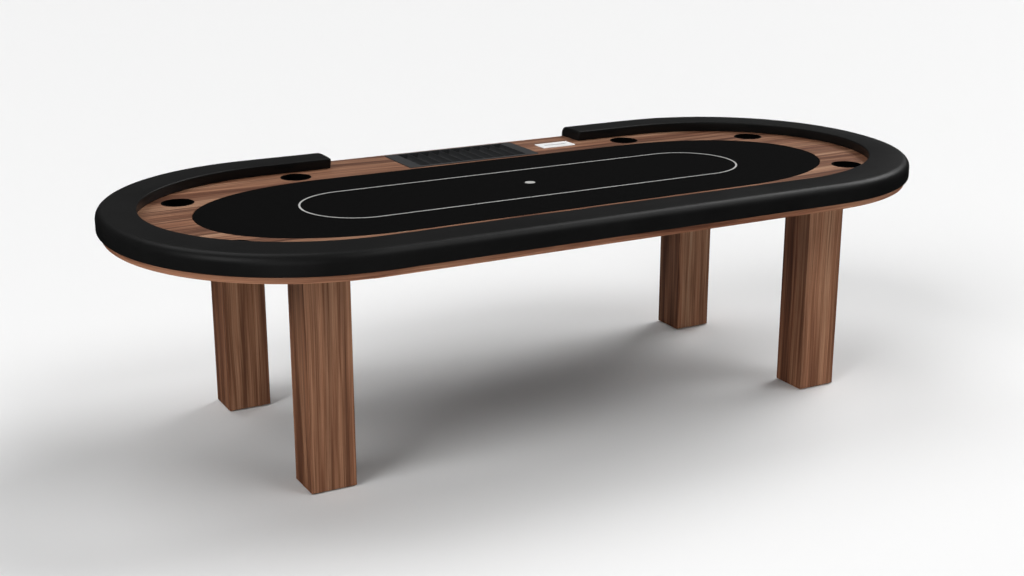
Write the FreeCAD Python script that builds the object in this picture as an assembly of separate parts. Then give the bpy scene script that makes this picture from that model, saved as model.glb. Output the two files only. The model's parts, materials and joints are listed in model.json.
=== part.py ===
import FreeCAD, Part
import math
import os
from collections import namedtuple

# Oval poker table: an upholstered rail round a walnut racetrack, a lift-out playing surface,
# drop-in cup holders, a chip tray and a drop slot for the dealer, on four box legs.
#
# Frame: origin on the floor under the middle of the table, +X along the table, +Y towards the
# dealer's cut-out in the rail, +Z up.  Every size is in millimetres.

Vector = FreeCAD.Vector

# An oval outline: straight sides out to x = straight, then an end that reaches end_length
# further.  squareness 1 makes that end a half ellipse, and less than 1 a slightly squarer curve.
Oval = namedtuple("Oval", "straight end_length half_width squareness")

# ---------------------------------------------------------------- heights
TABLE_HEIGHT = 762.0                # top of the padded rail, 30 in above the floor
DECK_TOP = 724.0                    # top of the walnut racetrack
BASE_TOP = 698.0                    # the racetrack sheet lies on the base board here
BASE_BOTTOM = 678.0
LEG_BOTTOM = 4.0                    # the legs stand clear of the floor on screw-in feet

# ---------------------------------------------------------------- outlines
RAIL_OUTER = Oval(764.7, 620.3, 632.5, 0.973)
RAIL_INNER = Oval(723.6, 551.4, 508.3, 0.992)
PLAYING_AREA = Oval(585.8, 524.2, 367.6, 0.959)
END_STEPS = 36                      # spans of the curve round one end
EDGE_INSET = 14.0                   # racetrack and base edge, inside the rail's outer face
BAND_THICKNESS = 6.0                # walnut lipping round the base board

# ---------------------------------------------------------------- padded rail
OPENING_HALF = 487.0                # half of the dealer's cut-out in the rail
COVER = 1.5                         # leatherette
RAIL_TOP_RADIUS = 22.0
RAIL_BOTTOM_BEVEL = 2.5
ROUND_BANDS = 4                     # flat bands that stand for the rounded top edge
CORE_THICKNESS = 18.0               # plywood under the foam
SIDE_FOAM = 2.0                     # foam over the skirt's face
INNER_FOAM = 4.5                    # foam over the core's inner edge
SKIRT_LIFT = 2.5                    # bottom of the skirt above the bottom of the rail
SKIRT_GAP = 0.5                     # between the skirt and the racetrack's edge
FOAM_SEGMENTS_PER_END = 6

# ---------------------------------------------------------------- racetrack and playing surface
DECK_SEAM_X = 540.0                 # joints between the racetrack's end and side sections
BASE_SEAM_X = 800.0                 # joints between the base's end boards and its long ones
BASE_SEAM_Y = 250.0                 # joint between the front board and the dealer's side
HATCH = (310.0, 500.0)              # ends in X of the short board under the drop slot
SURFACE_GAP = 1.0                   # all round the lift-out surface
SURFACE_BOARD = 18.0
SURFACE_FOAM = 8.0
CLOTH = 1.0
LINE_HALF_LENGTH = 785.0            # outer edge of the betting line
LINE_HALF_WIDTH = 181.5
LINE_WIDTH = 6.0
PRINT_THICKNESS = 0.2
CENTRE_SPOT_RADIUS = 17.0
PUSH_HOLE_RADIUS = 25.0             # holes in the base board to push the surface up through
PUSH_HOLE_X = 420.0

# ---------------------------------------------------------------- cup holders
CUP_FLANGE_RADIUS = 50.8            # 4 in across
CUP_BODY_RADIUS = 47.5
CUP_WALL = 1.2
CUP_DEPTH = 60.0
CUP_CORNER = 6.0
CUP_GAP = 0.8
CUP_SIDE = (640.0, 437.0)
CUP_END = (1085.0, 277.0)
CUP_HOLDERS = {
    "front_left": (-CUP_SIDE[0], -CUP_SIDE[1]),
    "front_middle": (0.0, -CUP_SIDE[1]),
    "front_right": (CUP_SIDE[0], -CUP_SIDE[1]),
    "back_left": (-CUP_SIDE[0], CUP_SIDE[1]),
    "back_right": (CUP_SIDE[0], CUP_SIDE[1]),
    "left_end_front": (-CUP_END[0], -CUP_END[1]),
    "left_end_back": (-CUP_END[0], CUP_END[1]),
    "right_end_front": (CUP_END[0], -CUP_END[1]),
    "right_end_back": (CUP_END[0], CUP_END[1]),
}

# ---------------------------------------------------------------- chip tray
TRAY_Y = 492.0
TRAY_HALF_LENGTH = 250.0
TRAY_HALF_WIDTH = 110.0
TRAY_FLANGE = 2.5
TRAY_LIP = 6.0                      # how far the flange overlaps the racetrack
TRAY_WALL = 2.4
TRAY_CORNER = 8.0
TRAY_GAP = 1.0
TUBE_COUNT = 10
TUBE_PITCH = 41.0
TUBE_RADIUS = 19.75                 # takes chips 39 mm across
TUBE_HALF_LENGTH = 98.0

# ---------------------------------------------------------------- drop slot
SLOT_CENTRE = (376.0, 487.0)
SLOT_PLATE = (134.0, 72.0, 2.0)
SLOT_OPENING = (90.0, 8.0)
SLOT_PLATE_CORNER = 6.0
CHUTE_WALL = 1.5
CHUTE_MARGIN = 3.0                  # the chute's bore is this much wider than the slot, each side
CHUTE_DROP = 60.0
SLOT_SCREW_INSET = 10.0

# ---------------------------------------------------------------- legs and feet
LEG_SIZE = (140.0, 127.0)
LEG_OUTER = (951.0, 429.0)          # outer faces of the legs
LEG_WALL = 19.0
LEG_EDGE = 2.5
LEG_PLATE = 6.0
TOP_BLOCK = 82.0
FOOT_BLOCK = 60.0
FOOT_RECESS = 5.0                   # the pads screw up into a shallow bore in the block
FOOT_RECESS_RADIUS = 27.0
LEG_BOLT_OFFSET = (30.0, 25.0)
PAD_RADIUS = 25.0
PAD_HEIGHT = 4.0
PAD_SOCKET_FLOOR = 1.5
STEM_RADIUS = 4.0                   # M8
STEM_TOP = 46.0
STEM_CLEARANCE = 0.08
STEM_HEX = 13.0                     # across the flats
STEM_HEX_HEIGHT = 4.5
INSERT_RADIUS = 7.0
INSERT_LENGTH = 25.0
CORNERS = {
    "front_left": (-1, -1),
    "front_right": (1, -1),
    "back_left": (-1, 1),
    "back_right": (1, 1),
}

# ---------------------------------------------------------------- frame under the base board
BEAM_DEPTH = 60.0
BEAM_THICKNESS = 32.0
LONG_BEAM_Y = 355.0
END_BEAM_X = 881.0

# ---------------------------------------------------------------- fasteners
HOLE_GAP = 0.3                      # radial room round a fixed fastener
Fastener = namedtuple("Fastener", "head_radius head_height shank_radius low high")
RAIL_BOLT = Fastener(7.0, 4.0, 3.0, BASE_BOTTOM, DECK_TOP + 14.0)
DECK_SCREW = Fastener(4.5, 2.5, 2.2, BASE_BOTTOM, DECK_TOP - 8.0)
BEAM_SCREW = Fastener(5.0, 3.0, 2.5, BASE_BOTTOM - BEAM_DEPTH + 20.0, BASE_TOP - 8.0)
LEG_BOLT = Fastener(6.5, 5.0, 4.0, BASE_BOTTOM - 40.0, BASE_TOP)
RAIL_BOLT_INSET = 72.0
DECK_SCREW_INSET = 40.0
TEE_NUT_RADIUS = 10.0
TEE_NUT_BARREL = 4.5
TEE_NUT_FLANGE = 1.5
TEE_NUT_LENGTH = 10.0
THREAD_GAP = 0.1


# ================================================================ basic shapes
def block(low, high):
    """Box between two opposite corners."""
    size = [high[i] - low[i] for i in range(3)]
    return Part.makeBox(size[0], size[1], size[2], Vector(*low))


def disc(radius, x, y, low, high):
    """Upright cylinder between two heights."""
    return Part.makeCylinder(radius, high - low, Vector(x, y, low))


def rounded_block(low, high, radius):
    """Box with its four upright edges rounded."""
    box = block(low, high)
    upright = [edge for edge in box.Edges if abs(edge.tangentAt(edge.FirstParameter).z) > 0.99]
    return box.makeFillet(radius, upright)


def centred_block(centre, size, low, high, radius):
    """Upright rounded box of a given plan size about a centre."""
    corner = (centre[0] - size[0] / 2, centre[1] - size[1] / 2, low)
    opposite = (centre[0] + size[0] / 2, centre[1] + size[1] / 2, high)
    return rounded_block(corner, opposite, radius)


def soften_top(solid, radius):
    """Round the edges round a solid's flat top."""
    top = solid.BoundBox.ZMax
    return solid.makeFillet(radius, [edge for edge in solid.Edges if edge.BoundBox.ZMin > top - 0.01])


def cut_all(body, tools):
    """Body with a list of shapes taken away."""
    return body.cut(Part.makeCompound(tools)) if tools else body


def oval_point(oval, angle, offset):
    """Point on the +X end of an oval, moved outwards by offset; angle 0 is the tip."""
    across = abs(math.cos(angle))
    along = abs(math.sin(angle))
    side = math.copysign(1.0, angle)
    power = oval.squareness
    normal = Vector(across ** (2 - power) / oval.end_length, side * along ** (2 - power) / oval.half_width)
    normal.normalize()
    x = oval.straight + oval.end_length * across ** power
    y = side * oval.half_width * along ** power
    return Vector(x, y, 0) + normal * offset


def oval_end(oval, offset, z, side):
    """Edge round one end of an oval, anticlockwise; side is +1 or -1 along X."""
    curve = Part.BSplineCurve()
    points = []
    for step in range(END_STEPS + 1):
        point = oval_point(oval, math.pi * (step / END_STEPS - 0.5), offset)
        points.append(Vector(side * point.x, side * point.y, z))
    curve.interpolate(Points=points, InitialTangent=Vector(side, 0, 0), FinalTangent=Vector(-side, 0, 0))
    return curve.toShape()


def oval_wire(oval, offset, z):
    """Closed oval outline, grown by offset, at height z."""
    half_width = oval.half_width + offset
    corner = Vector(oval.straight, half_width, z)
    return Part.Wire([
        oval_end(oval, offset, z, 1),
        Part.LineSegment(corner, Vector(-corner.x, half_width, z)).toShape(),
        oval_end(oval, offset, z, -1),
        Part.LineSegment(Vector(-corner.x, -half_width, z), Vector(corner.x, -half_width, z)).toShape(),
    ])


def oval_plate(oval, offset, low, high):
    """Solid plate with an oval outline, grown by offset, between two heights."""
    return Part.Face(oval_wire(oval, offset, low)).extrude(Vector(0, 0, high - low))


def oval_stack(oval, stations):
    """Solid through oval outlines at (offset, height) stations, with flat bands between them."""
    return Part.makeLoft([oval_wire(oval, offset, z) for offset, z in stations], True, True)


def oval_ring(outer, outer_offset, inner, inner_offset, low, high):
    """Oval plate with an oval hole."""
    return oval_plate(outer, outer_offset, low, high).cut(oval_plate(inner, inner_offset, low, high))


def around_oval(oval, inset, end_angles, straight_xs):
    """Stations on an oval at mirrored end angles in degrees, and at given (x, side) on its straights."""
    stations = []
    for side in (1, -1):
        for angle in end_angles:
            point = oval_point(oval, math.radians(angle), -inset)
            stations.append((side * point.x, point.y))
    for x, side in straight_xs:
        stations.append((x, side * (oval.half_width - inset)))
    return stations


# ================================================================ fasteners
RAIL_BOLTS = around_oval(RAIL_OUTER, RAIL_BOLT_INSET, (-75, -45, -15, 15, 45, 75),
                         [(x, -1) for x in (-510, -170, 170, 510)] + [(x, 1) for x in (-560, 560)])
DECK_SCREWS = around_oval(RAIL_OUTER, DECK_SCREW_INSET, (-60, -30, 0.01, 30, 60),
                          [(x, -1) for x in (-680, -340, 0, 340, 680)]
                          + [(x, 1) for x in (-680, -340, 340, 680)])
BEAM_SCREWS = ([(x, side * LONG_BEAM_Y) for side in (-1, 1) for x in (-720, -360, 60, 360, 720)]
               + [(side * END_BEAM_X, y) for side in (-1, 1) for y in (-220, 0, 220)]
               + [(0, -200), (0, 200)])


def screw_up(kind, x, y, gap=0.0):
    """Screw or bolt driven upwards, its head's underside at kind.low; gap grows it into its hole."""
    head = disc(kind.head_radius + gap, x, y, kind.low - gap, kind.low + kind.head_height)
    return head.fuse(disc(kind.shank_radius + gap, x, y, kind.low, kind.high + gap))


def pan_bolt_up(x, y):
    """Rail bolt, with its head under the base board."""
    head = disc(RAIL_BOLT.head_radius, x, y, RAIL_BOLT.low - RAIL_BOLT.head_height, RAIL_BOLT.low)
    head = head.makeFillet(1.5, [head.Edges[2]])
    return head.fuse(disc(RAIL_BOLT.shank_radius, x, y, RAIL_BOLT.low, RAIL_BOLT.high))


def rail_bolt_holes(low, high):
    """Clearance holes for the rail bolts between two heights."""
    return [disc(RAIL_BOLT.shank_radius + HOLE_GAP, x, y, low, high) for x, y in RAIL_BOLTS]


def tee_nut(x, y, gap=0.0):
    """Tee nut sunk in the top of the rail's core."""
    top = DECK_TOP + CORE_THICKNESS
    flange = disc(TEE_NUT_RADIUS + gap, x, y, top - TEE_NUT_FLANGE - gap, top)
    barrel = disc(TEE_NUT_BARREL + gap, x, y, top - TEE_NUT_LENGTH, top)
    return flange.fuse(barrel)


def tee_nuts():
    """All tee nuts, bored for the rail bolts."""
    bore = RAIL_BOLT.shank_radius + THREAD_GAP
    top = DECK_TOP + CORE_THICKNESS
    return [tee_nut(x, y).cut(disc(bore, x, y, DECK_TOP, top)) for x, y in RAIL_BOLTS]


# ================================================================ padded rail
def rail_envelope(inset):
    """The rail's outer form, drawn in by inset on every covered face; its top edge is rounded in bands."""
    radius = RAIL_TOP_RADIUS - inset
    centre = TABLE_HEIGHT - RAIL_TOP_RADIUS
    stations = [(-inset - RAIL_BOTTOM_BEVEL, BASE_TOP + inset), (-inset, BASE_TOP + inset + RAIL_BOTTOM_BEVEL)]
    for step in range(ROUND_BANDS + 1):
        angle = math.pi / 2 * step / ROUND_BANDS
        stations.append((radius * math.cos(angle) - RAIL_TOP_RADIUS, centre + radius * math.sin(angle)))
    body = oval_stack(RAIL_OUTER, stations)
    body = body.cut(oval_plate(RAIL_INNER, inset, BASE_BOTTOM, TABLE_HEIGHT + 1))
    body = body.cut(oval_plate(RAIL_OUTER, SKIRT_GAP - EDGE_INSET, BASE_BOTTOM, DECK_TOP))
    return cut_opening(body, inset)


def cut_opening(body, inset):
    """Body with the dealer's cut-out taken away."""
    half = OPENING_HALF + inset
    return body.cut(block((-half, 0, 0), (half, RAIL_OUTER.half_width + 1, TABLE_HEIGHT + 1)))


def rail_core():
    """Plywood ring that the foam is glued to."""
    top = DECK_TOP + CORE_THICKNESS
    ring = oval_ring(RAIL_OUTER, SKIRT_GAP - EDGE_INSET, RAIL_INNER, COVER + INNER_FOAM, DECK_TOP, top)
    ring = cut_opening(ring, COVER + INNER_FOAM)
    holes = [tee_nut(x, y, HOLE_GAP) for x, y in RAIL_BOLTS]
    return cut_all(ring, holes + rail_bolt_holes(DECK_TOP, top))


def rail_skirt():
    """Bent plywood strip that hides the racetrack's edge."""
    top = DECK_TOP + CORE_THICKNESS
    strip = oval_ring(RAIL_OUTER, -COVER - SIDE_FOAM, RAIL_OUTER, SKIRT_GAP - EDGE_INSET,
                      BASE_TOP + SKIRT_LIFT, top)
    return cut_opening(strip, COVER + INNER_FOAM)


def foam_zones():
    """Prisms that divide the rail into the lengths its foam is cut in; the last is the front right one."""
    zones = []
    reach = 2 * RAIL_OUTER.straight
    step = math.pi / FOAM_SEGMENTS_PER_END
    for side in (1, -1):
        centre = Vector(side * RAIL_OUTER.straight, 0, 0)
        for index in range(FOAM_SEGMENTS_PER_END):
            corners = [centre]
            for angle in (index * step - math.pi / 2, (index + 1) * step - math.pi / 2):
                corners.append(centre + Vector(side * math.cos(angle), math.sin(angle), 0) * reach)
            corners.append(centre)
            zones.append(Part.Face(Part.makePolygon(corners)).extrude(Vector(0, 0, TABLE_HEIGHT)))
    for left, right in ((-RAIL_OUTER.straight, 0), (0, RAIL_OUTER.straight)):
        zones.append(block((left, 0, 0), (right, reach, TABLE_HEIGHT)))
    stations = (-RAIL_OUTER.straight, -RAIL_OUTER.straight / 3, RAIL_OUTER.straight / 3, RAIL_OUTER.straight)
    for left, right in zip(stations, stations[1:]):
        zones.append(block((left, -reach, 0), (right, 0, TABLE_HEIGHT)))
    return zones


def rail_foam(envelope, skirt):
    """Foam between the cover and the plywood, in butted lengths."""
    top = DECK_TOP + CORE_THICKNESS
    filled_core = oval_ring(RAIL_OUTER, SKIRT_GAP - EDGE_INSET, RAIL_INNER, COVER + INNER_FOAM, DECK_TOP, top)
    foam = envelope.cut(cut_opening(filled_core, COVER + INNER_FOAM)).cut(skirt)
    return [foam.common(zone) for zone in foam_zones()]


def rail_parts():
    """Core, skirt, foam and cover of the rail."""
    core = rail_core()
    skirt = rail_skirt()
    padded = rail_envelope(COVER)
    foam = rail_foam(padded, skirt)
    return {
        "rail_core": core,
        "rail_skirt": skirt,
        "rail_foam": Part.makeCompound(foam[:-1]),
        "rail_foam_front_right": foam[-1],
        "rail_cover": rail_envelope(0.0).cut(padded),
        "rail_bolts": Part.makeCompound([pan_bolt_up(x, y) for x, y in RAIL_BOLTS]),
        "rail_tee_nuts": Part.makeCompound(tee_nuts()),
    }


# ================================================================ base board and racetrack
def cup_holes(low, high):
    """Holes for the cup holders between two heights."""
    radius = CUP_BODY_RADIUS + CUP_GAP
    return [disc(radius, x, y, low, high) for x, y in CUP_HOLDERS.values()]


def chute_size():
    """Outer plan size of the drop slot's chute."""
    grow = 2 * (CHUTE_MARGIN + CHUTE_WALL)
    return (SLOT_OPENING[0] + grow, SLOT_OPENING[1] + grow)


def chute_hole(low, high):
    """Hole for the chute between two heights."""
    size = chute_size()
    return centred_block(SLOT_CENTRE, (size[0] + 1, size[1] + 1), low, high, 2.0)


def leg_centre(corner):
    """Middle of a leg in plan, for a corner such as (1, -1)."""
    return tuple(corner[i] * (LEG_OUTER[i] - LEG_SIZE[i] / 2) for i in range(2))


def leg_bolt_stations(corner):
    """Where one leg's four bolts stand."""
    x, y = leg_centre(corner)
    return [(x + i * LEG_BOLT_OFFSET[0], y + j * LEG_BOLT_OFFSET[1]) for i in (-1, 1) for j in (-1, 1)]


def leg_bolt(x, y, gap=0.0):
    """Leg bolt, its head sunk in the top of the base board."""
    head_low = LEG_BOLT.high - LEG_BOLT.head_height
    head = disc(LEG_BOLT.head_radius + gap, x, y, head_low, LEG_BOLT.high)
    return head.fuse(disc(LEG_BOLT.shank_radius + gap, x, y, LEG_BOLT.low - gap, head_low))


def base_boards():
    """Plywood base in six boards; their joints lie away from the racetrack's, which bridges them."""
    board = oval_plate(RAIL_OUTER, -EDGE_INSET - BAND_THICKNESS, BASE_BOTTOM, BASE_TOP)
    holes = cup_holes(BASE_BOTTOM, BASE_TOP) + rail_bolt_holes(BASE_BOTTOM, BASE_TOP)
    holes += [screw_up(DECK_SCREW, x, y, HOLE_GAP) for x, y in DECK_SCREWS]
    holes += [screw_up(BEAM_SCREW, x, y, HOLE_GAP) for x, y in BEAM_SCREWS]
    holes += [leg_bolt(x, y, HOLE_GAP) for corner in CORNERS.values() for x, y in leg_bolt_stations(corner)]
    holes += [disc(PUSH_HOLE_RADIUS, side * PUSH_HOLE_X, 0, BASE_BOTTOM, BASE_TOP) for side in (-1, 1)]
    holes.append(chute_hole(BASE_BOTTOM, BASE_TOP))
    board = cut_all(board, holes)
    reach = 2 * RAIL_OUTER.straight
    zones = {
        "base_board_left_end": ((-reach, -reach), (-BASE_SEAM_X, reach)),
        "base_board_right_end": ((BASE_SEAM_X, -reach), (reach, reach)),
        "base_board_front": ((-BASE_SEAM_X, -reach), (BASE_SEAM_X, BASE_SEAM_Y)),
        "base_board_back_left": ((-BASE_SEAM_X, BASE_SEAM_Y), (HATCH[0], reach)),
        "base_board_back_right": ((HATCH[1], BASE_SEAM_Y), (BASE_SEAM_X, reach)),
        "base_board_hatch": ((HATCH[0], BASE_SEAM_Y), (HATCH[1], reach)),
    }
    return {name: board.common(block(low + (0,), high + (TABLE_HEIGHT,))) for name, (low, high) in zones.items()}


def base_edge_band():
    """Walnut lipping round the base board."""
    return oval_ring(RAIL_OUTER, -EDGE_INSET, RAIL_OUTER, -EDGE_INSET - BAND_THICKNESS, BASE_BOTTOM, BASE_TOP)


def racetrack_sections():
    """Walnut racetrack in two end sections and two side sections."""
    sheet = oval_ring(RAIL_OUTER, -EDGE_INSET, PLAYING_AREA, SURFACE_GAP, BASE_TOP, DECK_TOP)
    tray_cut = (2 * (TRAY_HALF_LENGTH - TRAY_LIP + TRAY_GAP), 2 * (TRAY_HALF_WIDTH - TRAY_LIP + TRAY_GAP))
    holes = cup_holes(BASE_TOP, DECK_TOP) + rail_bolt_holes(BASE_TOP, DECK_TOP)
    holes += [screw_up(DECK_SCREW, x, y, HOLE_GAP) for x, y in DECK_SCREWS]
    holes.append(centred_block((0, TRAY_Y), tray_cut, BASE_TOP, DECK_TOP, TRAY_CORNER))
    holes.append(chute_hole(BASE_TOP, DECK_TOP))
    holes += [disc(1.5 + HOLE_GAP, x, y, DECK_TOP - 14, DECK_TOP) for x, y in slot_screw_stations()]
    sheet = cut_all(sheet, holes)
    reach = 2 * RAIL_OUTER.straight
    zones = {
        "racetrack_left_end": block((-reach, -reach, 0), (-DECK_SEAM_X, reach, TABLE_HEIGHT)),
        "racetrack_right_end": block((DECK_SEAM_X, -reach, 0), (reach, reach, TABLE_HEIGHT)),
        "racetrack_front": block((-DECK_SEAM_X, -reach, 0), (DECK_SEAM_X, 0, TABLE_HEIGHT)),
        "racetrack_dealer_side": block((-DECK_SEAM_X, 0, 0), (DECK_SEAM_X, reach, TABLE_HEIGHT)),
    }
    return {name: sheet.common(zone) for name, zone in zones.items()}


# ================================================================ playing surface
def stadium(half_length, half_width, low, high):
    """Plate with straight sides and half-round ends."""
    side = half_length - half_width
    body = block((-side, -half_width, low), (side, half_width, high))
    for x in (-side, side):
        body = body.fuse(disc(half_width, x, 0, low, high))
    return body.removeSplitter()


def playing_surface():
    """Board, foam, cloth and printed markings that lift out together."""
    board_top = BASE_TOP + SURFACE_BOARD
    foam_top = board_top + SURFACE_FOAM
    cloth_top = foam_top + CLOTH
    wrapped = oval_plate(PLAYING_AREA, 0, BASE_TOP, cloth_top)
    inside = oval_plate(PLAYING_AREA, -CLOTH, BASE_TOP, foam_top)
    print_top = cloth_top + PRINT_THICKNESS
    line = stadium(LINE_HALF_LENGTH, LINE_HALF_WIDTH, cloth_top, print_top)
    line = line.cut(stadium(LINE_HALF_LENGTH - LINE_WIDTH, LINE_HALF_WIDTH - LINE_WIDTH, cloth_top, print_top))
    return {
        "surface_board": oval_plate(PLAYING_AREA, -CLOTH, BASE_TOP, board_top),
        "surface_foam": oval_plate(PLAYING_AREA, -CLOTH, board_top, foam_top),
        "playing_cloth": wrapped.cut(inside),
        "betting_line": line,
        "centre_spot": disc(CENTRE_SPOT_RADIUS, 0, 0, cloth_top, print_top),
    }


# ================================================================ cup holders
def cup_holder(x, y):
    """Drop-in cup with a narrow flange."""
    low = DECK_TOP - CUP_DEPTH
    body = disc(CUP_BODY_RADIUS, x, y, low, DECK_TOP)
    body = body.makeFillet(CUP_CORNER, [edge for edge in body.Edges if edge.BoundBox.ZMax < low + 1])
    flange = soften_top(disc(CUP_FLANGE_RADIUS, x, y, DECK_TOP, DECK_TOP + CUP_WALL), CUP_WALL / 2)
    body = body.fuse(flange)
    floor = low + CUP_WALL
    bowl = disc(CUP_BODY_RADIUS - CUP_WALL, x, y, floor, DECK_TOP + CUP_WALL)
    bowl = bowl.makeFillet(CUP_CORNER - CUP_WALL, [edge for edge in bowl.Edges if edge.BoundBox.ZMax < floor + 1])
    return body.cut(bowl)


# ================================================================ chip tray
def tray_tubes(radius, half_length):
    """Lower halves of the tray's tubes, with straight sides above their axes."""
    tubes = []
    first = -TUBE_PITCH * (TUBE_COUNT - 1) / 2
    for index in range(TUBE_COUNT):
        x = first + TUBE_PITCH * index
        start = Vector(x, TRAY_Y - half_length, DECK_TOP)
        tube = Part.makeCylinder(radius, 2 * half_length, start, Vector(0, 1, 0))
        tubes.append(tube.common(block((x - radius, 0, 0), (x + radius, 2 * TRAY_Y, DECK_TOP))))
        tubes.append(block((x - radius, TRAY_Y - half_length, DECK_TOP),
                           (x + radius, TRAY_Y + half_length, DECK_TOP + TRAY_FLANGE)))
    return tubes


def chip_tray():
    """Moulded tray with a row of half-round tubes for chips."""
    top = DECK_TOP + TRAY_FLANGE
    bottom = DECK_TOP - TUBE_RADIUS - TRAY_WALL
    flange_size = (2 * TRAY_HALF_LENGTH, 2 * TRAY_HALF_WIDTH)
    flange = soften_top(centred_block((0, TRAY_Y), flange_size, DECK_TOP, top, TRAY_CORNER), 1.0)
    body_size = [2 * (half - TRAY_LIP) for half in (TRAY_HALF_LENGTH, TRAY_HALF_WIDTH)]
    inner_size = [side - 2 * TRAY_WALL for side in body_size]
    skirt = centred_block((0, TRAY_Y), body_size, bottom, DECK_TOP, TRAY_CORNER - TRAY_GAP)
    skirt = skirt.cut(centred_block((0, TRAY_Y), inner_size, bottom, DECK_TOP, TRAY_CORNER - TRAY_GAP - TRAY_WALL))
    shell = flange.fuse([skirt] + tray_tubes(TUBE_RADIUS + TRAY_WALL, TUBE_HALF_LENGTH + TRAY_WALL))
    return cut_all(shell, tray_tubes(TUBE_RADIUS, TUBE_HALF_LENGTH)).removeSplitter()


# ================================================================ drop slot
def slot_screw_stations():
    """Where the drop-slot plate's screws stand."""
    reach = [SLOT_PLATE[i] / 2 - SLOT_SCREW_INSET for i in range(2)]
    return [(SLOT_CENTRE[0] + i * reach[0], SLOT_CENTRE[1] + j * reach[1]) for i in (-1, 1) for j in (-1, 1)]


def drop_slot():
    """Polished plate with a slot, its screws and the chute below it."""
    top = DECK_TOP + SLOT_PLATE[2]
    plate = soften_top(centred_block(SLOT_CENTRE, SLOT_PLATE, DECK_TOP, top, SLOT_PLATE_CORNER), 0.5)
    plate = plate.cut(centred_block(SLOT_CENTRE, SLOT_OPENING, DECK_TOP, top, SLOT_OPENING[1] / 2 - 0.1))
    plate = cut_all(plate, [disc(1.5 + HOLE_GAP, x, y, DECK_TOP, top) for x, y in slot_screw_stations()])
    chute = centred_block(SLOT_CENTRE, chute_size(), DECK_TOP - CHUTE_DROP, DECK_TOP, 2.0)
    bore = [side - 2 * CHUTE_WALL for side in chute_size()]
    chute = chute.cut(centred_block(SLOT_CENTRE, bore, DECK_TOP - CHUTE_DROP, DECK_TOP, 0.5))
    screws = []
    for x, y in slot_screw_stations():
        head = disc(3.0, x, y, top, top + 1.5)
        screws.append(soften_top(head, 0.7).fuse(disc(1.5, x, y, DECK_TOP - 13, top)))
    return {
        "drop_slot_plate": plate,
        "drop_slot_chute": chute,
        "drop_slot_screws": Part.makeCompound(screws),
    }


# ================================================================ legs and feet
def leg_block(corner, inset, low, high, radius):
    """Upright box on a leg's centre, drawn in by inset from the leg's faces."""
    size = [side - 2 * inset for side in LEG_SIZE]
    return centred_block(leg_centre(corner), size, low, high, radius)


def leg(corner):
    """Hollow walnut box leg."""
    post = leg_block(corner, 0, LEG_BOTTOM, BASE_BOTTOM, LEG_EDGE)
    return post.cut(leg_block(corner, LEG_WALL, LEG_BOTTOM, BASE_BOTTOM, 0.5))


def leg_plate(corner):
    """Tapped steel plate in the top of a leg."""
    plate = leg_block(corner, LEG_WALL, BASE_BOTTOM - LEG_PLATE, BASE_BOTTOM, 0.5)
    radius = LEG_BOLT.shank_radius + THREAD_GAP
    holes = [disc(radius, x, y, BASE_BOTTOM - LEG_PLATE, BASE_BOTTOM) for x, y in leg_bolt_stations(corner)]
    return cut_all(plate, holes)


def leg_top_block(corner):
    """Solid block under the leg's plate."""
    high = BASE_BOTTOM - LEG_PLATE
    holes = [leg_bolt(x, y, HOLE_GAP) for x, y in leg_bolt_stations(corner)]
    return cut_all(leg_block(corner, LEG_WALL, high - TOP_BLOCK, high, 0.5), holes)


def leg_foot_block(corner):
    """Solid block in the foot of a leg, bored for the foot's insert and stem."""
    x, y = leg_centre(corner)
    high = LEG_BOTTOM + FOOT_BLOCK
    recess_top = LEG_BOTTOM + FOOT_RECESS
    insert_top = recess_top + INSERT_LENGTH
    holes = [disc(FOOT_RECESS_RADIUS, x, y, LEG_BOTTOM, recess_top),
             disc(INSERT_RADIUS + HOLE_GAP, x, y, recess_top, insert_top),
             disc(STEM_RADIUS + 1, x, y, insert_top, STEM_TOP + 6)]
    return cut_all(leg_block(corner, LEG_WALL, LEG_BOTTOM, high, 0.5), holes)


def foot_insert(corner):
    """Threaded insert that a foot screws into."""
    x, y = leg_centre(corner)
    low = LEG_BOTTOM + FOOT_RECESS
    high = low + INSERT_LENGTH
    return disc(INSERT_RADIUS, x, y, low, high).cut(disc(STEM_RADIUS + STEM_CLEARANCE, x, y, low, high))


def foot_pad(corner):
    """Round pad that stands on the floor."""
    x, y = leg_centre(corner)
    pad = disc(PAD_RADIUS, x, y, 0, PAD_HEIGHT)
    pad = soften_top(pad, 1.2)
    return pad.cut(disc(STEM_RADIUS + STEM_CLEARANCE, x, y, PAD_SOCKET_FLOOR, PAD_HEIGHT))


def foot_stem(corner):
    """Threaded stem with a hexagon for a spanner."""
    x, y = leg_centre(corner)
    stem = disc(STEM_RADIUS, x, y, PAD_SOCKET_FLOOR + 0.1, STEM_TOP)
    reach = STEM_HEX / math.sqrt(3)
    low = PAD_HEIGHT + 0.2
    corners = []
    for index in range(7):
        angle = math.radians(60 * index)
        corners.append(Vector(x + reach * math.cos(angle), y + reach * math.sin(angle), low))
    hexagon = Part.Face(Part.makePolygon(corners)).extrude(Vector(0, 0, STEM_HEX_HEIGHT))
    return stem.fuse(hexagon)


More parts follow.
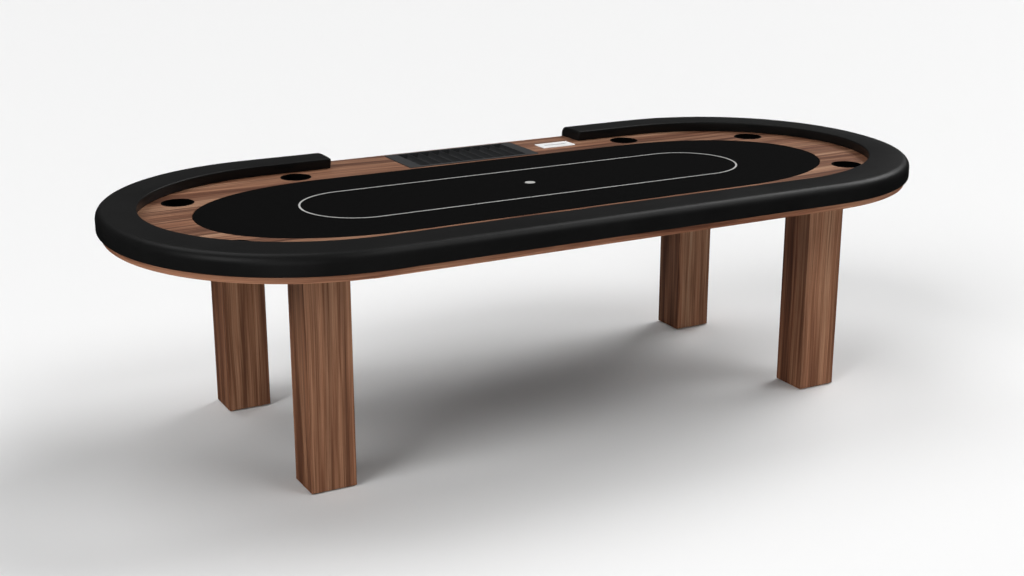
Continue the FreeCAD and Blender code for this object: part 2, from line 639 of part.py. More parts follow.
def leg_parts():
    """Legs, their plates, blocks and bolts, and the feet under them."""
    parts = {}
    for name, corner in CORNERS.items():
        parts["leg_" + name] = leg(corner)
        parts["foot_pad_" + name] = foot_pad(corner)
        parts["foot_stem_" + name] = foot_stem(corner)
    corners = CORNERS.values()
    parts["leg_plates"] = Part.makeCompound([leg_plate(corner) for corner in corners])
    parts["leg_top_blocks"] = Part.makeCompound([leg_top_block(corner) for corner in corners])
    parts["leg_foot_blocks"] = Part.makeCompound([leg_foot_block(corner) for corner in corners])
    parts["foot_inserts"] = Part.makeCompound([foot_insert(corner) for corner in corners])
    stations = [station for corner in corners for station in leg_bolt_stations(corner)]
    parts["leg_bolts"] = Part.makeCompound([leg_bolt(x, y) for x, y in stations])
    return parts


# ================================================================ frame under the base board
def beam(low, high):
    """Timber under the base board, between two plan corners, bored for its screws."""
    low_z = BASE_BOTTOM - BEAM_DEPTH
    timber = block((low[0], low[1], low_z), (high[0], high[1], BASE_BOTTOM))
    holes = []
    for x, y in BEAM_SCREWS:
        holes.append(screw_up(BEAM_SCREW, x, y, HOLE_GAP))
        holes.append(disc(BEAM_SCREW.head_radius + HOLE_GAP, x, y, low_z, BEAM_SCREW.low))
    return cut_all(timber, holes)


def under_frame():
    """Beams between the legs that stiffen the base board."""
    half = BEAM_THICKNESS / 2
    leg_inner = [LEG_OUTER[i] - LEG_SIZE[i] for i in range(2)]
    parts = {}
    for name, side in (("front", -1), ("back", 1)):
        y = side * LONG_BEAM_Y
        parts["long_beam_" + name] = beam((-leg_inner[0], y - half), (leg_inner[0], y + half))
    for name, x in (("left", -END_BEAM_X), ("right", END_BEAM_X)):
        parts["cross_beam_" + name] = beam((x - half, -leg_inner[1]), (x + half, leg_inner[1]))
    reach = LONG_BEAM_Y - half
    parts["cross_beam_middle"] = beam((-half, -reach), (half, reach))
    return parts


# ================================================================ whole table
def all_parts():
    """Every node of the table, by name."""
    parts = {"base_edge_band": base_edge_band(), "chip_tray": chip_tray()}
    parts.update(base_boards())
    parts.update(racetrack_sections())
    parts.update(rail_parts())
    parts.update(playing_surface())
    parts.update(drop_slot())
    parts.update(leg_parts())
    parts.update(under_frame())
    for name, (x, y) in CUP_HOLDERS.items():
        parts["cup_holder_" + name] = cup_holder(x, y)
    parts["deck_screws"] = Part.makeCompound([screw_up(DECK_SCREW, x, y) for x, y in DECK_SCREWS])
    parts["beam_screws"] = Part.makeCompound([screw_up(BEAM_SCREW, x, y) for x, y in BEAM_SCREWS])
    return parts


os.makedirs("parts", exist_ok=True)
for node, shape in all_parts().items():
    assert shape.isValid(), node
    print(f"{node:32s} solids {len(shape.Solids):3d}  volume {shape.Volume / 1e6:9.4f} litres")
    shape.exportStep(f"parts/{node}.step")
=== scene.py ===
import json
import math
from collections import namedtuple

import bpy
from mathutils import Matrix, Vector, noise


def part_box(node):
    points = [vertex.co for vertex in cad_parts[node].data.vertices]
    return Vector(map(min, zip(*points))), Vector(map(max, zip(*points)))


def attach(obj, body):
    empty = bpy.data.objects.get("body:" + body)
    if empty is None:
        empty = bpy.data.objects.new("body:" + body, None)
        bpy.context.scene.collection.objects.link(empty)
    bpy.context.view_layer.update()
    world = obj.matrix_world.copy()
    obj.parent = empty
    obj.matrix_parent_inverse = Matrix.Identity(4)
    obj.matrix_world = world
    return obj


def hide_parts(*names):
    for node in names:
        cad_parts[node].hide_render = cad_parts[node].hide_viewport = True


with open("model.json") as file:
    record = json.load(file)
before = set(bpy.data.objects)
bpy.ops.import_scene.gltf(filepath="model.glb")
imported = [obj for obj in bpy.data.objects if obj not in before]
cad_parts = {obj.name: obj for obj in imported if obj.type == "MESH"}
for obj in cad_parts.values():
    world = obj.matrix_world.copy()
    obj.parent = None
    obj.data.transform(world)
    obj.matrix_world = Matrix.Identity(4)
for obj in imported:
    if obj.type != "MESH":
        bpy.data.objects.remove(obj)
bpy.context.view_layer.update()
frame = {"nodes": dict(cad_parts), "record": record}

MM = 0.001

# ---------------------------------------------------------------- sizes of the table
# An oval outline: straight sides out to x = straight, then an end that reaches end_length
# further.  squareness 1 makes that end a half ellipse, and less than 1 a slightly squarer curve.
Oval = namedtuple("Oval", "straight end_length half_width squareness")
RAIL_OUTER = Oval(0.7647, 0.6203, 0.6325, 0.973)
RAIL_INNER = Oval(0.7236, 0.5514, 0.5083, 0.992)
PLAYING_AREA = Oval(0.5858, 0.5242, 0.3676, 0.959)

RAIL_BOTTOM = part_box("rail_cover")[0].z
RAIL_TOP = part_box("rail_cover")[1].z
BASE_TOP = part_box("racetrack_front")[0].z
DECK_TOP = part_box("racetrack_front")[1].z
CLOTH_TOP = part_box("playing_cloth")[1].z
OPENING_HALF = 0.487                 # half of the dealer's cut-out
EDGE_INSET = 0.0135                  # the rail's skirt is this deep, outside the racetrack's edge

# ---------------------------------------------------------------- upholstery
END_STEPS = 96                       # stations round one end of the rail
STRAIGHT_PITCH = 0.020               # between stations on the straight sides
OUTER_RADIUS = 0.028
INNER_RADIUS = 0.004
HEM_RADIUS = 4 * MM                  # at the skirt's lower outer edge
FOOT_RADIUS = 3 * MM                 # where the inner face meets the racetrack
SHELF_GAP = 0.2 * MM                 # between the padding and the racetrack
OVERHANG = 0.007                     # the padding leans this far over the racetrack
CROWN = 0.0020                       # how far the top rises in its middle
END_RADIUS = 0.006                   # rounding of the rail's two cut ends
END_ROUND_STEPS = 6
END_CLEARANCE = 2 * MM               # between an end's rounding and the next station
RIPPLE = 0.00025                     # slight unevenness of stretched leatherette
RIPPLE_ABOVE = 6 * MM                # the skirt's lower edge stays straight up to here

# ---------------------------------------------------------------- playing cloth
CLOTH_EDGE = 0.003                   # rounding where the cloth turns down over the foam
CLOTH_THICKNESS = 0.0009
CLOTH_HEM_GAP = 1 * MM               # between the cloth's lower edge and the base board
CLOTH_RINGS = 14
CLOTH_EDGE_STEPS = 4
CLOTH_END_STEPS = 48
CLOTH_STRAIGHT_STEPS = 40

# ---------------------------------------------------------------- camera, from the table's own outlines
CAMERA_PLACE = (-2.3289, -4.1569, 1.8230)
CAMERA_PITCH = 17.0                  # degrees below level
CAMERA_YAW = 28.555                  # degrees from +Y towards +X
CAMERA_LENS = 52.824                 # in mm, on a 36 mm wide sensor

# ---------------------------------------------------------------- lights, floor and wall
# name, height and bearing in degrees, spread in degrees, strength
LIGHTS = (
    ("right", 42, 16, 34, 1.82),
    ("right_front", 50, 314, 34, 0.86),
    ("left", 34, 198, 36, 1.52),
    ("front_left", 8, 236, 30, 0.60),
    ("back", 60, 105, 38, 0.82),
)
SURROUNDINGS = 0.01                  # strength of the dim room
BACKDROP = 0.06                      # strength of the white backdrop behind the table
BACKDROP_TOWARDS = (18, 62)          # its height and bearing
BACKDROP_FADE = (42, 16)             # degrees from its middle where it begins and where it is full
FLOOR_HALF = 30.0                    # half the side of the floor
FLOOR_TONE = 0.86
WALL_RADIUS = 29.0                   # pale wall round the studio, seen only in low views
WALL_BOTTOM = -1.0
WALL_TOP = 24.0
WALL_STEPS = 96
WALL_GLOW = 0.92


# ================================================================ outlines
def oval_point(oval, angle, offset=0.0):
    """Point on the +X end of an oval, moved outwards by offset; angle 0 is the tip."""
    across = abs(math.cos(angle))
    along = abs(math.sin(angle))
    side = math.copysign(1.0, angle)
    power = oval.squareness
    x = oval.straight + oval.end_length * across ** power
    y = side * oval.half_width * along ** power
    normal_x = across ** (2 - power) / oval.end_length
    normal_y = side * along ** (2 - power) / oval.half_width
    normal = Vector((normal_x, normal_y))
    normal.normalize()
    return Vector((x, y)) + normal * offset


def oval_outline(oval, offset, end_steps, straight_steps):
    """Closed anticlockwise outline of an oval, as points in plan."""
    points = []
    for side in (1, -1):
        for step in range(end_steps + 1):
            points.append(side * oval_point(oval, math.pi * (step / end_steps - 0.5), offset))
        for step in range(1, straight_steps):
            x = side * oval.straight * (1 - 2 * step / straight_steps)
            points.append(Vector((x, side * (oval.half_width + offset))))
    return points


def outline_area(points):
    """Area inside a closed outline."""
    pairs = zip(points, points[1:] + points[:1])
    return abs(sum(a.x * b.y - b.x * a.y for a, b in pairs)) / 2


def outline_length(points):
    """Length round a closed outline."""
    return sum((b - a).length for a, b in zip(points, points[1:] + points[:1]))


def arc(centre, radius, start, end, steps):
    """Points of an arc, angles in degrees, both ends included."""
    points = []
    for step in range(steps + 1):
        angle = math.radians(start + (end - start) * step / steps)
        points.append((centre[0] + radius * math.cos(angle), centre[1] + radius * math.sin(angle)))
    return points


# ================================================================ meshes
def new_object(name, vertices, faces, smooth=True):
    """Mesh object from plain lists."""
    mesh = bpy.data.meshes.new(name)
    mesh.from_pydata([tuple(v) for v in vertices], [], faces)
    mesh.validate()
    mesh.polygons.foreach_set("use_smooth", [smooth] * len(mesh.polygons))
    mesh.update()
    made = bpy.data.objects.new(name, mesh)
    bpy.context.scene.collection.objects.link(made)
    return made


def bridge_rings(rings):
    """Vertices and faces of a tube through rings of equal length, with fans over its ends."""
    count = len(rings[0])
    vertices = [point for ring in rings for point in ring]
    faces = []
    for row in range(len(rings) - 1):
        for column in range(count):
            a = row * count + column
            b = row * count + (column + 1) % count
            faces.append((a, b, b + count, a + count))
    for row, flip in ((0, True), (len(rings) - 1, False)):
        hub = len(vertices)
        vertices.append(sum(rings[row], Vector((0, 0, 0))) / count)
        for column in range(count):
            a = row * count + column
            b = row * count + (column + 1) % count
            faces.append((b, a, hub) if flip else (a, b, hub))
    return vertices, faces


def subdivide(made, levels):
    """Smooth a mesh with a subdivision modifier."""
    modifier = made.modifiers.new("smooth", "SUBSURF")
    modifier.levels = levels
    modifier.render_levels = levels


# ================================================================ padded rail
def rail_section(width, inset):
    """Closed section of the padding, drawn in by inset.

    Its points are (distance in from the rail's outer line, height).
    """
    outer = inset
    inner = width + OVERHANG - inset
    top = RAIL_TOP - inset
    foot = RAIL_BOTTOM + inset
    outer_radius = OUTER_RADIUS - inset / 2
    inner_radius = INNER_RADIUS - inset / 2
    left = outer + outer_radius
    right = inner - inner_radius
    points = arc((outer + HEM_RADIUS, foot + HEM_RADIUS), HEM_RADIUS, 270, 180, 3)
    for share in (0.25, 0.5, 0.75):
        points.append((outer, foot + HEM_RADIUS + share * (top - outer_radius - foot - HEM_RADIUS)))
    points += arc((left, top - CROWN - outer_radius), outer_radius, 180, 90, 9)
    for step in range(1, 8):
        share = step / 8
        points.append((left + (right - left) * share, top - CROWN * (2 * share - 1) ** 2))
    points += arc((right, top - CROWN - inner_radius), inner_radius, 90, 0, 6)
    points += inner_face(inner, top - CROWN - inner_radius)
    points += underside(inner, foot)
    return points


def inner_face(inner, high):
    """The padding's inner face, leaning back from its top at height high to the racetrack."""
    low = DECK_TOP + SHELF_GAP + FOOT_RADIUS
    points = []
    for share in (0.25, 0.5, 0.75, 1.0):
        lean = OVERHANG * (1 - math.cos(share * math.pi / 2))
        points.append((inner - lean, high + (low - high) * share))
    return points + arc((inner - OVERHANG - FOOT_RADIUS, low), FOOT_RADIUS, 0, -90, 3)[1:]


def underside(inner, foot):
    """The padding's underside on the racetrack, then down the inside of its skirt."""
    shelf = DECK_TOP + SHELF_GAP
    start = inner - OVERHANG - FOOT_RADIUS
    points = [(start + (EDGE_INSET - start) * share, shelf) for share in (0.3, 0.7, 1.0)]
    points.append((EDGE_INSET, (shelf + foot) / 2))
    points.append((EDGE_INSET, foot))
    return points


def straight_stations(start, end, steps, side):
    """Pairs of points along one straight side; start and end each hold an outer and an inner x."""
    stations = []
    for step in range(steps):
        share = step / steps
        outer = Vector((start[0] + (end[0] - start[0]) * share, side * RAIL_OUTER.half_width))
        inner = Vector((start[1] + (end[1] - start[1]) * share, side * RAIL_INNER.half_width))
        stations.append((outer, inner))
    return stations


def rail_stations():
    """Pairs of points on the rail's outer and inner lines, from one cut end round to the other."""
    opening = (OPENING_HALF, OPENING_HALF)
    right = (RAIL_OUTER.straight, RAIL_INNER.straight)
    left = (-RAIL_OUTER.straight, -RAIL_INNER.straight)
    back_steps = round((RAIL_OUTER.straight - OPENING_HALF) / STRAIGHT_PITCH)
    front_steps = round(2 * RAIL_OUTER.straight / STRAIGHT_PITCH)
    half = straight_stations(opening, right, back_steps, 1)
    for step in range(END_STEPS + 1):
        angle = math.pi * (0.5 - step / END_STEPS)
        half.append((oval_point(RAIL_OUTER, angle), oval_point(RAIL_INNER, angle)))
    front = straight_stations(right, left, front_steps, -1)[1:]
    mirrored = [(Vector((-a.x, a.y)), Vector((-b.x, b.y))) for a, b in reversed(half)]
    return half + front + mirrored


def section_ring(outer, inner, inset=0.0, shift=0.0):
    """The rail's section placed between two points in plan; shift slides it along X."""
    inward = inner - outer
    width = inward.length
    inward.normalize()
    ring = []
    for distance, height in rail_section(width, inset):
        plan = outer + inward * distance
        ring.append(Vector((plan.x + shift, plan.y, height)))
    return ring


def rounded_end(outer, inner, direction):
    """Rings that round off a cut end, from the end face inwards; direction is towards the rail."""
    rings = []
    for step in range(END_ROUND_STEPS):
        angle = math.pi / 2 * step / END_ROUND_STEPS
        inset = END_RADIUS * (1 - math.sin(angle))
        shift = direction * END_RADIUS * (1 - math.cos(angle))
        rings.append(section_ring(outer, inner, inset, shift))
    return rings


def ripple(point):
    """Small smooth offset that keeps stretched leatherette from looking machined."""
    coarse = noise.noise(point * 9.0)
    fine = noise.noise(point * 31.0 + Vector((7, 3, 5)))
    return (coarse + 0.5 * fine) * RIPPLE


def padded_rail():
    """Upholstered rail as one closed form."""
    stations = rail_stations()
    rings = rounded_end(*stations[0], 1)
    rounded_to = rings[-1][0].x + END_CLEARANCE
    for outer, inner in stations[1:-1]:
        if abs(outer.x) > rounded_to or outer.y < 0:
            rings.append(section_ring(outer, inner))
    rings += reversed(rounded_end(*stations[-1], -1))
    made = new_object("rail_upholstery", *bridge_rings(rings))
    normals = [Vector(vertex.normal) for vertex in made.data.vertices]
    for vertex, normal in zip(made.data.vertices, normals):
        if vertex.co.z > RAIL_BOTTOM + RIPPLE_ABOVE:
            vertex.co += normal * ripple(vertex.co)
    subdivide(made, 1)
    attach(made, "table_frame")
    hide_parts("rail_cover", "rail_foam", "rail_foam_front_right")
    return made


# ================================================================ playing cloth
def cloth_ring(offset, height, share=1.0):
    """Outline of the playing area at a height, moved outwards by offset and shrunk to a share."""
    outline = oval_outline(PLAYING_AREA, offset, CLOTH_END_STEPS, CLOTH_STRAIGHT_STEPS)
    return [Vector((p.x * share, p.y * share, height)) for p in outline]


def cloth_rings(drop):
    """Rings of the cloth's skin, from near its middle to its lower edge, lowered by drop."""
    turn = CLOTH_TOP - CLOTH_EDGE
    rings = []
    for step in range(1, CLOTH_RINGS + 1):
        rings.append(cloth_ring(-CLOTH_EDGE, CLOTH_TOP - drop, step / CLOTH_RINGS))
    for step in range(1, CLOTH_EDGE_STEPS + 1):
        angle = math.pi / 2 * step / CLOTH_EDGE_STEPS
        reach = (CLOTH_EDGE - drop) * math.sin(angle) - CLOTH_EDGE
        rings.append(cloth_ring(reach, turn + (CLOTH_EDGE - drop) * math.cos(angle)))
    for share in (0.5, 1.0):
        rings.append(cloth_ring(-drop, turn + (BASE_TOP + CLOTH_HEM_GAP - turn) * share))
    return rings


def playing_cloth():
    """Speed cloth stretched over the playing surface and turned down its edge."""
    rings = cloth_rings(0.0) + list(reversed(cloth_rings(CLOTH_THICKNESS)))
    vertices, faces = bridge_rings(rings)
    made = new_object("speed_cloth", vertices, [tuple(reversed(face)) for face in faces])
    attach(made, "playing_surface")
    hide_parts("playing_cloth")
    edge = oval_outline(PLAYING_AREA, 0, CLOTH_END_STEPS, CLOTH_STRAIGHT_STEPS)
    turned_down = CLOTH_TOP - BASE_TOP
    area = outline_area(edge) + outline_length(edge) * turned_down
    return made


# ================================================================ colours and node graphs
def linear(value):
    """Linear light from one display value of 0 to 255."""
    if value <= 10:
        return value / 255 / 12.92
    return ((value / 255 + 0.055) / 1.055) ** 2.4


def srgb(red, green, blue):
    """Linear colour from display values of 0 to 255."""
    return (linear(red), linear(green), linear(blue))


def grey(value):
    """Linear grey from a display value of 0 to 255."""
    return srgb(value, value, value)


class Graph:
    """A material and short calls for building its nodes."""

    def __init__(self, name, roughness=0.5, metallic=0.0):
        self.material = bpy.data.materials.new(name)
        self.material.use_nodes = True
        self.tree = self.material.node_tree
        self.shader = self.tree.nodes["Principled BSDF"]
        self.shader.inputs["Roughness"].default_value = roughness
        self.shader.inputs["Metallic"].default_value = metallic

    def feed(self, socket, value):
        """Link or set one input."""
        if isinstance(value, bpy.types.NodeSocket):
            self.tree.links.new(value, socket)
        else:
            socket.default_value = value

    def add(self, kind, inputs, **settings):
        """New node with its settings and inputs; inputs are keyed by name or number."""
        node = self.tree.nodes.new("ShaderNode" + kind)
        for key, value in settings.items():
            setattr(node, key, value)
        for key, value in inputs.items():
            self.feed(node.inputs[key], value)
        return node

    def math(self, operation, first, second=0.0):
        """One arithmetic step."""
        return self.add("Math", {0: first, 1: second}, operation=operation).outputs[0]

    def plus(self, first, second):
        """Sum of two values."""
        return self.math("ADD", first, second)

    def times(self, first, second):
        """Product of two values."""
        return self.math("MULTIPLY", first, second)

    def weighted(self, values, weights):
        """Sum of values, each times its weight."""
        total = self.times(values[0], weights[0])
        for value, weight in zip(values[1:], weights[1:]):
            total = self.plus(total, self.times(value, weight))
        return total

    def position(self):
        """A point in the table's frame."""
        return self.add("TexCoord", {}).outputs["Object"]

    def coordinates(self):
        """The three coordinates of a point in the table's frame."""
        return self.add("SeparateXYZ", {0: self.position()}).outputs

    def sideways(self):
        """How far a surface faces along the table, from 0 to 1."""
        normal = self.add("NewGeometry", {}).outputs["Normal"]
        return self.math("ABSOLUTE", self.add("SeparateXYZ", {0: normal}).outputs[0])

    def vector(self, x, y, z):
        """Vector from three values."""
        return self.add("CombineXYZ", {0: x, 1: y, 2: z}).outputs[0]

    def noise(self, vector, scale, detail=4.0, roughness=0.55):
        """Fractal noise, about 0.5."""
        settings = {"Vector": vector, "Scale": scale, "Detail": detail, "Roughness": roughness}
        return self.add("TexNoise", settings).outputs["Fac"]

    def span(self, value, low, high, to_low=0.0, to_high=1.0):
        """Value moved from one range to another, and clamped."""
        settings = {"Value": value, 1: low, 2: high, 3: to_low, 4: to_high}
        return self.add("MapRange", settings).outputs[0]

    def ramp(self, value, stops):
        """Colour from a list of (position, linear colour)."""
        node = self.add("ValToRGB", {0: value})
        elements = node.color_ramp.elements
        while len(elements) < len(stops):
            elements.new(0.5)
        for element, (position, colour) in zip(elements, stops):
            element.position = position
            element.color = (*colour, 1.0)
        return node.outputs[0]

    def mix(self, factor, first, second, blend="MIX"):
        """Mix of two colours."""
        first, second = [(*c, 1.0) if isinstance(c, tuple) else c for c in (first, second)]
        inputs = {0: factor, 6: first, 7: second}
        return self.add("Mix", inputs, data_type="RGBA", blend_type=blend).outputs[2]

    def colour(self, value):
        """Set the base colour."""
        self.feed(self.shader.inputs["Base Color"], (*value, 1.0) if isinstance(value, tuple) else value)

    def roughness(self, value):
        """Set the roughness."""
        self.feed(self.shader.inputs["Roughness"], value)

    def specular(self, value):
        """Set the strength of the gloss."""
        self.shader.inputs["Specular IOR Level"].default_value = value

    def bump(self, height, depth, strength=1.0):
        """Raise the surface by height times depth metres."""
        node = self.add("Bump", {"Height": height, "Distance": depth, "Strength": strength})
        self.feed(self.shader.inputs["Normal"], node.outputs[0])


# ================================================================ walnut
# Tones of oiled walnut, darkest first: place on the colour ramp, display colour.
WALNUT = (
    (0.00, (74, 46, 34)),
    (0.30, (104, 70, 52)),
    (0.50, (130, 92, 70)),
    (0.72, (154, 115, 90)),
    (1.00, (182, 144, 117)),
)
WALNUT_MIDDLE = 0.52                 # where on the ramp the grain is centred
RED_WOOD = (1.0, 0.90, 0.86)         # multiplies the tone of the redder streaks
PORE = (52, 33, 25)


def walnut(name, along, across, depth, lift=0.0, wave=0.02, contrast=1.0, gloss=0.40, shine=0.5,
           painted_side_shade=0.0, tint=(1.0, 1.0, 1.0)):
    """Oiled walnut.

    along, across and depth weigh the coordinates into the grain's three directions.  lift shifts its
    tone; painted_side_shade darkens only faces that look along the table, a painted shade for the light
    they miss.
    """
    graph = Graph(name)
    xyz = graph.coordinates()
    length, width, thickness = [graph.weighted(xyz, weights) for weights in (along, across, depth)]
    slow_place = graph.vector(graph.times(length, 1.1), graph.times(width, 2.5), thickness)
    drift = graph.noise(slow_place, 1.0, 2.0)
    width = graph.plus(width, graph.times(graph.plus(drift, -0.5), wave * 4))

    def layer(stretch, spacing, detail, roughness=0.55, offset=0.0):
        """Noise drawn out along the grain, about 0, with its streaks spacing metres apart."""
        run = graph.plus(graph.times(length, stretch), offset)
        place = graph.vector(run, graph.times(width, 1 / spacing), graph.times(thickness, 1 / spacing))
        return graph.plus(graph.noise(place, 1.0, detail, roughness), -0.5)

    figure = layer(0.8, 0.050, 3.0)
    streak = layer(1.6, 0.012, 3.0, offset=3.1)
    line = layer(3.0, 0.0028, 3.0, 0.6, offset=7.7)
    vein = graph.span(graph.math("ABSOLUTE", layer(0.9, 0.022, 2.0, offset=5.9)), 0.0, 0.035, 1.0, 0.0)
    pore = graph.span(layer(40.0, 0.0007, 2.0), 0.10, 0.24)
    redness = graph.span(layer(0.7, 0.035, 2.0, offset=11.3), -0.15, 0.15)

    tone = graph.weighted([figure, streak, line, vein], (1.5, 1.1, 1.0, -0.14))
    tone = graph.plus(graph.times(tone, contrast), WALNUT_MIDDLE + lift)
    # Painted shade: faces that look along the table are made darker, standing in for the light they miss.
    if painted_side_shade:
        tone = graph.plus(tone, graph.times(graph.sideways(), painted_side_shade))
    stops = []
    for place, display in WALNUT:
        stops.append((place, tuple(part * share for part, share in zip(srgb(*display), tint))))
    colour = graph.ramp(tone, stops)
    colour = graph.mix(redness, colour, graph.mix(1.0, colour, RED_WOOD, "MULTIPLY"))
    colour = graph.mix(graph.times(pore, 0.35), colour, srgb(*PORE))
    graph.colour(colour)
    graph.roughness(graph.span(streak, -0.2, 0.2, gloss - 0.05, gloss + 0.08))
    graph.bump(graph.plus(line, graph.times(pore, -0.6)), 0.00012, 0.6)
    graph.specular(shine)
    return graph.material


def racetrack_walnut():
    """Veneer of the racetrack, its grain along the table."""
    return walnut("walnut_racetrack", along=(1, 0, 0), across=(0, 1, 0), depth=(0, 0, 1), lift=-0.02,
                  wave=0.03, contrast=1.3, gloss=0.38, shine=0.35)


def lipping_walnut():
    """Thin band round the base's edge, its grain round the table."""
    return walnut("walnut_lipping", along=(1, 0.6, 0), across=(0, 0, 1), depth=(0.02, 0.02, 0), lift=0.02,
                  contrast=0.8, shine=0.2, tint=(1.04, 0.92, 0.86))


def leg_walnut():
    """Veneer of the legs, its grain upright."""
    # Painted shade: the legs' faces that look along the table are darkened by 0.22 on the tone ramp.
    return walnut("walnut_leg", along=(0, 0, 1), across=(1, 1, 0), depth=(0.3, -0.3, 0), lift=0.07,
                  wave=0.008, gloss=0.45, shine=0.2, painted_side_shade=-0.22, tint=(1.0, 0.95, 0.88))


# ================================================================ leatherette, cloth and plain materials
def leatherette():
    """Black upholstery leatherette with a fine pebble grain."""
    graph = Graph("rail_leatherette")
    position = graph.position()
    voronoi = {"Vector": position, "Scale": 620.0, "Randomness": 1.0}
    pebbles = graph.add("TexVoronoi", voronoi, feature="SMOOTH_F1").outputs["Distance"]
    soft = graph.noise(position, 160.0, 3.0)
    broad = graph.noise(position, 5.0, 3.0)
    graph.colour(graph.ramp(broad, [(0.3, grey(17)), (0.7, grey(22))]))
    graph.roughness(graph.span(broad, 0.3, 0.7, 0.38, 0.44))
    graph.bump(graph.plus(graph.times(pebbles, 0.7), graph.times(soft, 0.3)), 0.00016, 0.35)
    graph.specular(0.10)
    return graph.material


def speed_cloth():
    """Tight black woven cloth."""
    graph = Graph("speed_cloth", roughness=0.85)
    thread_pitch = 0.0009
    xyz = graph.coordinates()
    warp = graph.math("SINE", graph.times(xyz[0], 2 * math.pi / thread_pitch))
    weft = graph.math("SINE", graph.times(xyz[1], 2 * math.pi / thread_pitch))
    weave = graph.times(warp, weft)
    lint = graph.noise(graph.position(), 90.0, 4.0)
    graph.colour(graph.ramp(lint, [(0.3, grey(12)), (0.75, grey(15))]))
    graph.bump(graph.plus(graph.times(weave, 0.5), lint), 0.00015, 0.4)
    graph.specular(0.01)
    return graph.material


def grained(name, low, high, scale, rough, bump_depth=0.0, metallic=0.0, stretch=(1, 1, 1), specular=0.5):
    """Plain material whose colour, gloss and surface vary with noise.

    low and high are its two linear colours and rough its two roughnesses.  stretch weighs the
    coordinates, so that the noise is drawn out along the smallest.
    """
    graph = Graph(name, metallic=metallic)
    place = graph.vector(*[graph.times(part, weight) for part, weight in zip(graph.coordinates(), stretch)])
    pattern = graph.noise(place, scale, 5.0, 0.6)
    graph.colour(graph.ramp(pattern, [(0.3, low), (0.7, high)]))
    graph.roughness(graph.span(pattern, 0.3, 0.7, *rough))
    if bump_depth:
        graph.bump(pattern, bump_depth)
    graph.specular(specular)
    return graph.material


def hidden_wood():
    """The stained timber and plywood under the table's top."""
    return {
        "plywood": grained("stained_plywood", srgb(58, 42, 33), srgb(82, 61, 48), 3.0, (0.55, 0.7),
                           0.0002, stretch=(1, 30, 200)),
        "beam_timber": grained("stained_timber", srgb(52, 37, 29), srgb(74, 54, 42), 2.0, (0.5, 0.65),
                               0.0003, stretch=(1, 40, 40)),
    }


def fittings():
    """Cups, tray, print, metal, foam and plastic."""
    return {
        "foam": grained("cut_foam", srgb(206, 198, 168), srgb(226, 220, 196), 300.0, (0.9, 1.0), 0.0006),
        "white_print": grained("white_print", srgb(172, 172, 170), srgb(184, 184, 182), 700.0,
                               (0.5, 0.7), 0.00008),
        "cup_black": grained("cup_powder_coat", grey(2), grey(3), 900.0, (0.65, 0.8), 0.00006,
                             specular=0.03),
        "tray_black": grained("tray_moulding", srgb(38, 39, 40), srgb(48, 49, 50), 800.0,
                              (0.35, 0.5), 0.00006),
        # Painted reflection: the plate's near-white, mostly matt colour stands in for its reflection of the
        # pale backdrop.
        "polished_steel": grained("polished_steel", grey(240), grey(250), 60.0, (0.5, 0.6),
                                  metallic=0.35, stretch=(1, 12, 1)),
        "steel": grained("zinc_plated_steel", srgb(150, 152, 156), srgb(190, 190, 192), 220.0,
                         (0.3, 0.45), metallic=1.0),
        "black_steel": grained("black_coated_sheet", srgb(22, 22, 23), srgb(32, 32, 33), 500.0,
                               (0.4, 0.55), 0.00005),
        "brass": grained("brass", srgb(176, 142, 70), srgb(206, 170, 92), 200.0, (0.25, 0.4),
                         metallic=1.0),
        "foot_plastic": grained("foot_nylon", srgb(20, 20, 21), srgb(30, 30, 31), 500.0,
                                (0.45, 0.6), 0.00005),
    }


def materials():
    """One material for each slot of the record, and walnut_band for the lipping."""
    return {
        "walnut": racetrack_walnut(),
        "walnut_band": lipping_walnut(),
        "walnut_leg": leg_walnut(),
        "rail_leatherette": leatherette(),
        "speed_cloth": speed_cloth(),
        **hidden_wood(),
        **fittings(),
    }


def dress(table_materials):
    """Give every CAD node the material of its slot."""
    slots = {part["node"]: part["material_slot"] for part in frame["record"]["subparts"]}
    slots["base_edge_band"] = "walnut_band"
    for node, made in frame["nodes"].items():
        made.data.materials.clear()
        made.data.materials.append(table_materials[slots[node]])


# ================================================================ floor, wall, light and camera
def towards(height, bearing):
    """Direction from a height above the floor and a bearing from +X towards +Y, in degrees."""
    level = math.cos(math.radians(height))
    x = level * math.cos(math.radians(bearing))
    y = level * math.sin(math.radians(bearing))
    return Vector((x, y, math.sin(math.radians(height))))


def soft_sun(name, height, bearing, spread, strength):
    """Broad distant light shining on the table from a height and bearing in degrees."""
    data = bpy.data.lights.new(name, "SUN")
    data.angle = math.radians(spread)
    data.energy = strength
    made = bpy.data.objects.new(name, data)
    made.rotation_euler = (-towards(height, bearing)).to_track_quat("-Z", "Y").to_euler()
    bpy.context.scene.collection.objects.link(made)


def surroundings():
    """Dim room with a soft white backdrop behind the table."""
    world = bpy.data.worlds.new("studio")
    world.use_nodes = True
    tree = world.node_tree
    background = tree.nodes["Background"]
    background.inputs["Color"].default_value = (1, 1, 1, 1)
    direction = tree.nodes.new("ShaderNodeTexCoord").outputs["Generated"]
    facing = tree.nodes.new("ShaderNodeVectorMath")
    facing.operation = "DOT_PRODUCT"
    facing.inputs[1].default_value = towards(*BACKDROP_TOWARDS)
    fade = tree.nodes.new("ShaderNodeMapRange")
    fade.interpolation_type = "SMOOTHSTEP"
    fade.inputs["From Min"].default_value = math.cos(math.radians(BACKDROP_FADE[0]))
    fade.inputs["From Max"].default_value = math.cos(math.radians(BACKDROP_FADE[1]))
    fade.inputs["To Min"].default_value = SURROUNDINGS
    fade.inputs["To Max"].default_value = BACKDROP
    tree.links.new(direction, facing.inputs[0])
    tree.links.new(facing.outputs["Value"], fade.inputs["Value"])
    tree.links.new(fade.outputs["Result"], background.inputs["Strength"])
    bpy.context.scene.world = world


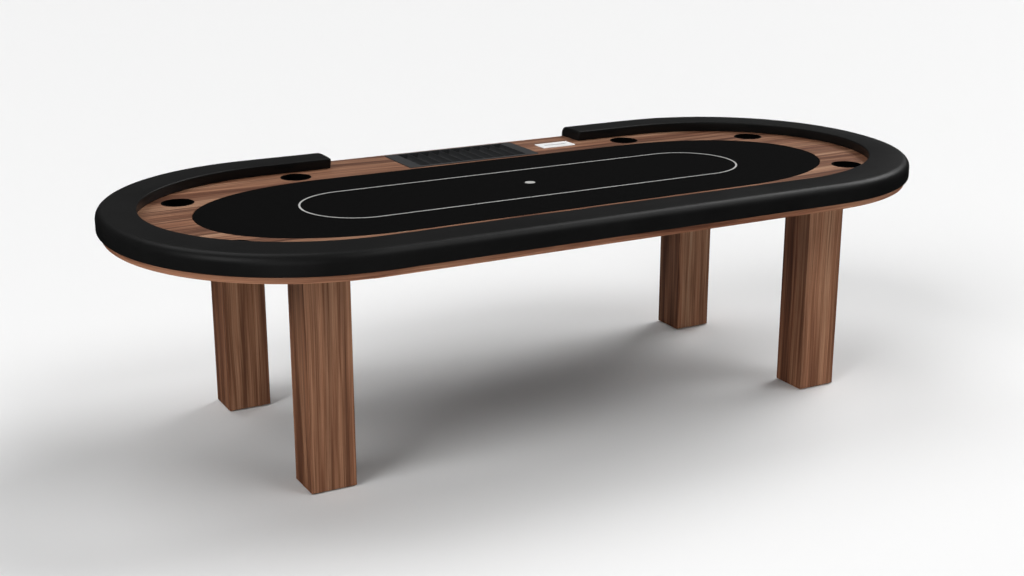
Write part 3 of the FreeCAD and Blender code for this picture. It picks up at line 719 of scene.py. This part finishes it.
def floor():
    """Pale floor, which takes shadows and shows in no reflection."""
    corners = [(x * FLOOR_HALF, y * FLOOR_HALF, 0) for x, y in ((-1, -1), (1, -1), (1, 1), (-1, 1))]
    made = new_object("floor", corners, [(0, 1, 2, 3)], smooth=False)
    graph = Graph("pale_floor", roughness=0.6)
    graph.colour((FLOOR_TONE, FLOOR_TONE, FLOOR_TONE))
    graph.specular(0.2)
    made.data.materials.append(graph.material)
    made.visible_glossy = False


def wall():
    """Pale wall round the studio, which lights nothing and shows in no reflection."""
    vertices = []
    for height in (WALL_BOTTOM, WALL_TOP):
        for step in range(WALL_STEPS):
            angle = 2 * math.pi * step / WALL_STEPS
            vertices.append((WALL_RADIUS * math.cos(angle), WALL_RADIUS * math.sin(angle), height))
    faces = []
    for a in range(WALL_STEPS):
        b = (a + 1) % WALL_STEPS
        faces.append((a, b, b + WALL_STEPS, a + WALL_STEPS))
    made = new_object("wall", vertices, faces)
    graph = Graph("pale_wall", roughness=1.0)
    graph.colour((0.0, 0.0, 0.0))
    graph.specular(0.0)
    graph.shader.inputs["Emission Color"].default_value = (1.0, 1.0, 1.0, 1.0)
    graph.shader.inputs["Emission Strength"].default_value = WALL_GLOW
    made.data.materials.append(graph.material)
    made.visible_diffuse = False
    made.visible_glossy = False
    made.visible_transmission = False
    made.visible_shadow = False


def studio():
    """Pale floor and wall, dim surroundings and soft lights."""
    floor()
    wall()
    surroundings()
    for light in LIGHTS:
        soft_sun(*light)
    bpy.context.scene.view_settings.view_transform = "Standard"


def camera():
    """The camera that the table is seen by."""
    data = bpy.data.cameras.new("camera")
    data.sensor_width = 36.0
    data.lens = CAMERA_LENS
    made = bpy.data.objects.new("camera", data)
    made.location = CAMERA_PLACE
    made.rotation_euler = (math.radians(90 - CAMERA_PITCH), 0, math.radians(-CAMERA_YAW))
    bpy.context.scene.collection.objects.link(made)
    bpy.context.scene.camera = made


camera()
studio()
table_materials = materials()
dress(table_materials)
padded_rail().data.materials.append(table_materials["rail_leatherette"])
playing_cloth().data.materials.append(table_materials["speed_cloth"])
